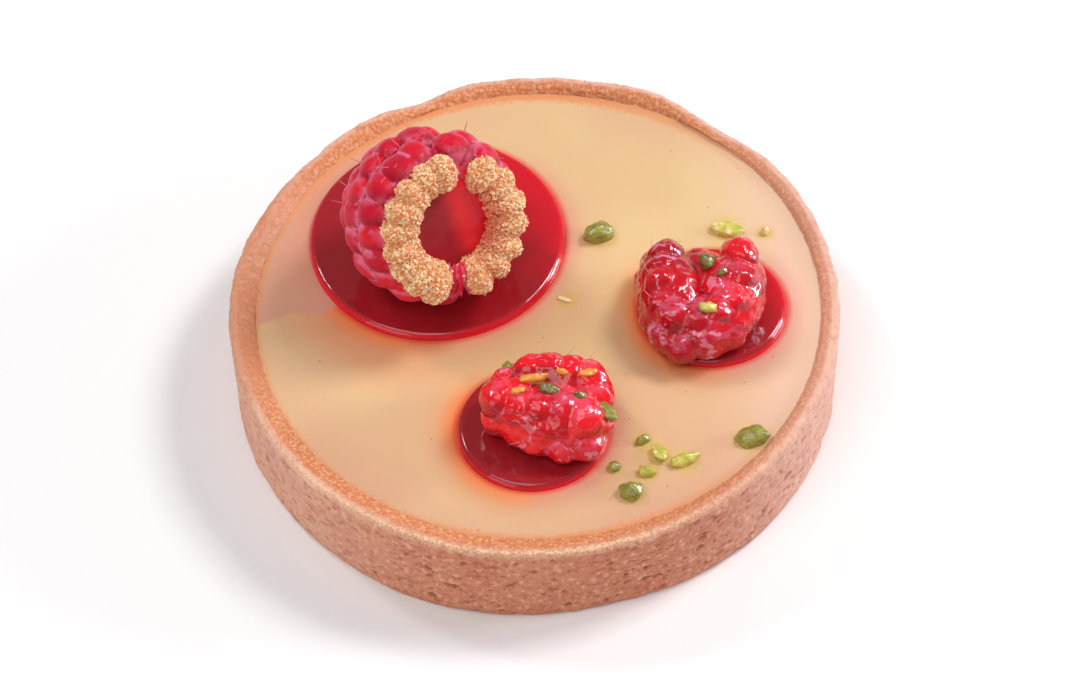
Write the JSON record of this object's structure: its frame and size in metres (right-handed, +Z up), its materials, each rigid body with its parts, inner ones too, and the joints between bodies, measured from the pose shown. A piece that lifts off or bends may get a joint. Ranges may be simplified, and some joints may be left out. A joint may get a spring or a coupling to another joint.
{
  "type": "lemon tart",
  "caption": "Round single-portion lemon tart in a low short-crust shell, topped with raised raspberry coulis discs, raspberries and chopped pistachio.",
  "frame": {"origin": "middle of the shell's flat underside", "axes": "+Z up through the toppings; -Y to the front, where the whole raspberry's mouth faces; +X to the right"},
  "size_m": [0.0752, 0.075, 0.0341],
  "materials": {
    "crust": "baked short crust, sandy and porous, pale golden pink",
    "lemon_cream": "smooth set lemon cream under a thin clear glaze",
    "coulis": "glossy translucent raspberry gel, deep red with brighter edges",
    "raspberry": "raspberry skin with a faint bloom, wet and glossy where it is torn",
    "pistachio": "chopped green pistachio, some chips yellow or orange",
    "gold_crumb": "fine golden biscuit crumb on the raspberry's mouth"
  },
  "bodies": {
    "root": {"crust": "crust", "lemon_cream": "lemon_cream", "coulis_disc_large": "coulis", "coulis_disc_right": "coulis", "coulis_disc_front": "coulis", "raspberry_whole": "raspberry", "raspberry_coulis_fill": "coulis", "raspberry_torn_right": "raspberry", "raspberry_torn_front": "raspberry"}
  },
  "joints": []
}
